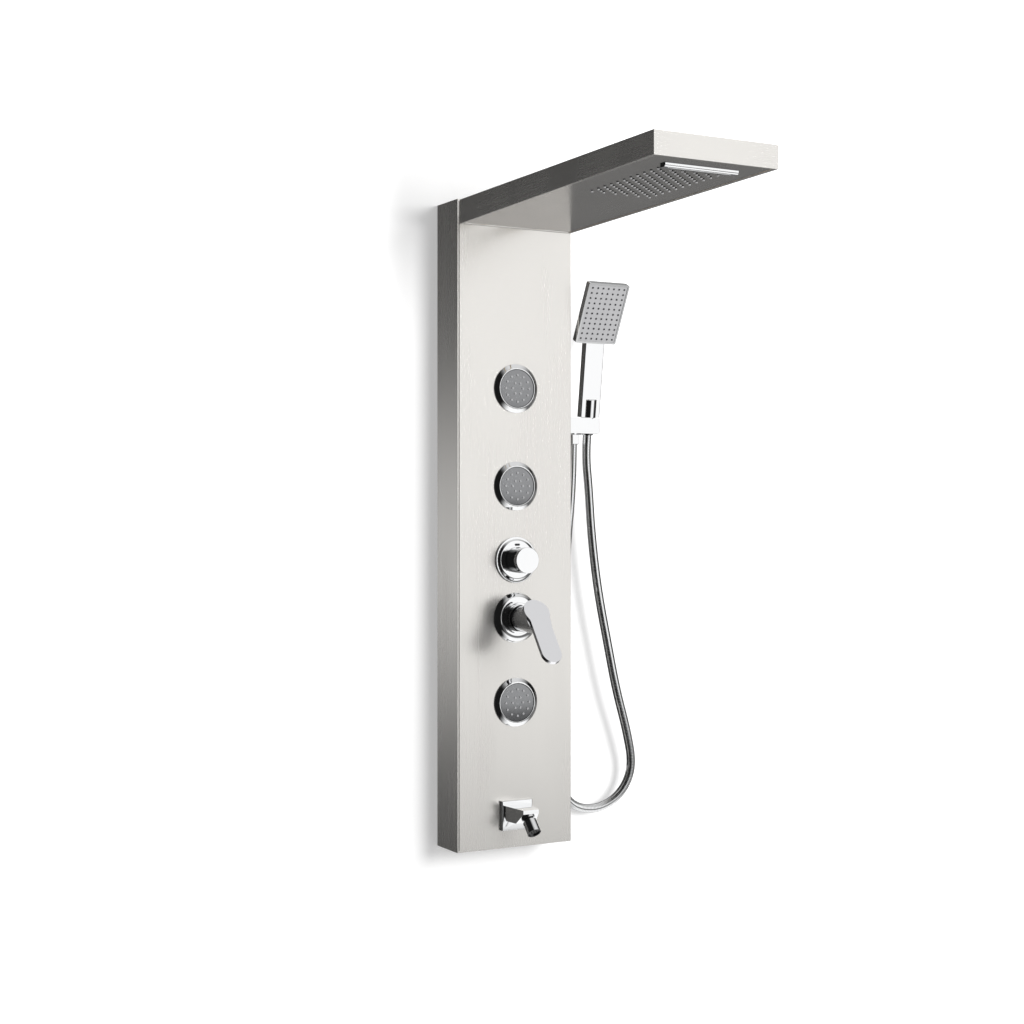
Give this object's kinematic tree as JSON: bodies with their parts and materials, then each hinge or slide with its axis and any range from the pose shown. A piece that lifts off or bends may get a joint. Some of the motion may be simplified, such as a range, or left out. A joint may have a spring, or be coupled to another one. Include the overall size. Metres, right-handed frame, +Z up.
{
  "type": "shower panel column",
  "caption": "Wall-hung brushed shower column with overhead rain and waterfall arm, swivelling body jets, diverter, lever mixer, foot spout and hand shower on a ribbed hose.",
  "frame": {"origin": "centre of the rectangle of wall-screw holes, on the wall plane, at half the column's height", "axes": "+Z up, front of the column towards -Y, +X towards the hand shower; the wall is the plane Y = 0"},
  "size_m": [0.3463, 0.603, 1.003],
  "materials": {
    "brushed_sheet": "satin",
    "polished": "polished",
    "dark_joint": "polished",
    "zinc": "satin",
    "brass": "satin",
    "plastic_grey": "matte",
    "plastic_dark": "matte",
    "face_grey": "satin",
    "soft_tips": "matte",
    "soft_dark": "matte"
  },
  "bodies": {
    "column": {"aerator_ball": "dark_joint", "arm_bolts": "zinc", "arm_bracket": "zinc", "arm_pipes": "brass", "arm_shell": "brushed_sheet", "cover_nuts": "zinc", "diverter_body": "brass", "diverter_bonnet": "plastic_dark", "diverter_flange": "polished", "diverter_marker": "plastic_dark", "front_cover": "brushed_sheet", "handset_pipe": "brass", "holder_block": "polished", "hose": "polished", "hose_nut": "polished", "inlet_nipples": "brass", "jet_1_ring": "polished", "jet_2_ring": "polished", "jet_3_ring": "polished", "jet_nuts": "plastic_grey", "jet_pipe": "brass", "jet_sockets": "plastic_grey", "mixer_body": "brass", "mixer_cartridge": "plastic_grey", "mixer_collar": "polished", "mixer_flange": "polished", "mixer_link": "brass", "nozzle_mat": "soft_tips", "rain_chamber": "plastic_grey", "rear_housing": "brushed_sheet", "spout_body": "polished", "spout_pipe": "brass", "spout_plate": "polished", "spray_plate": "brushed_sheet", "tail_nuts": "zinc", "wall_hangers": "zinc", "waterfall_chamber": "plastic_grey", "waterfall_lip": "polished"},
    "diverter": {"diverter_spindle": "brass", "diverter_knob": "polished", "knob_cap": "polished"},
    "temperature_swivel": {"mixer_swivel": "dark_joint", "lever_pin": "zinc"},
    "lever": {"mixer_lever": "polished"},
    "aerator_swivel": {"aerator_collar": "polished"},
    "aerator": {"aerator_shell": "polished"},
    "handset": {"handset_body": "polished", "handset_face": "face_grey", "handset_tips": "soft_dark", "handset_connector": "polished", "hose_cone_nut": "polished"},
    "jet_1_swivel": {"jet_1_seat": "plastic_grey"},
    "jet_1": {"jet_1_face": "face_grey", "jet_1_tips": "soft_tips"},
    "jet_2_swivel": {"jet_2_seat": "plastic_grey"},
    "jet_2": {"jet_2_face": "face_grey", "jet_2_tips": "soft_tips"},
    "jet_3_swivel": {"jet_3_seat": "plastic_grey"},
    "jet_3": {"jet_3_face": "face_grey", "jet_3_tips": "soft_tips"}
  },
  "joints": [
    {"name": "diverter_turn", "type": "hinge", "parent": "column", "child": "diverter", "pos_m": [0, -0.046, -0.053], "axis": [0, -1, 0], "range_deg": [-90, 90]},
    {"name": "temperature_turn", "type": "hinge", "parent": "column", "child": "temperature_swivel", "pos_m": [0, -0.1, -0.143], "axis": [0, -1, 0], "range_deg": [-45, 45]},
    {"name": "lever_lift", "type": "hinge", "parent": "temperature_swivel", "child": "lever", "pos_m": [0, -0.1, -0.143], "axis": [-1, 0, 0], "range_deg": [0, 20]},
    {"name": "jet_1_turn", "type": "hinge", "parent": "column", "child": "jet_1_swivel", "pos_m": [0, -0.066, 0.213], "axis": [0, -1, 0], "continuous": true},
    {"name": "jet_1_tilt", "type": "hinge", "parent": "jet_1_swivel", "child": "jet_1", "pos_m": [0, -0.066, 0.213], "axis": [-1, 0, 0], "range_deg": [-12, 12]},
    {"name": "jet_2_turn", "type": "hinge", "parent": "column", "child": "jet_2_swivel", "pos_m": [0, -0.066, 0.0615], "axis": [0, -1, 0], "continuous": true},
    {"name": "jet_2_tilt", "type": "hinge", "parent": "jet_2_swivel", "child": "jet_2", "pos_m": [0, -0.066, 0.0615], "axis": [-1, 0, 0], "range_deg": [-12, 12]},
    {"name": "jet_3_turn", "type": "hinge", "parent": "column", "child": "jet_3_swivel", "pos_m": [0, -0.066, -0.2745], "axis": [0, -1, 0], "continuous": true},
    {"name": "jet_3_tilt", "type": "hinge", "parent": "jet_3_swivel", "child": "jet_3", "pos_m": [0, -0.066, -0.2745], "axis": [-1, 0, 0], "range_deg": [-12, 12]},
    {"name": "aerator_turn", "type": "hinge", "parent": "column", "child": "aerator_swivel", "pos_m": [0, -0.11598, -0.45483], "axis": [0, -0.6854, -0.7282], "continuous": true},
    {"name": "aerator_tilt", "type": "hinge", "parent": "aerator_swivel", "child": "aerator", "pos_m": [0, -0.11598, -0.45483], "axis": [1, 0, 0], "range_deg": [-15, 15]},
    {"name": "handset_lift", "type": "slide", "parent": "column", "child": "handset", "axis": [0, -0.1305, 0.9914], "range_m": [0, 0.08]}
  ]
}
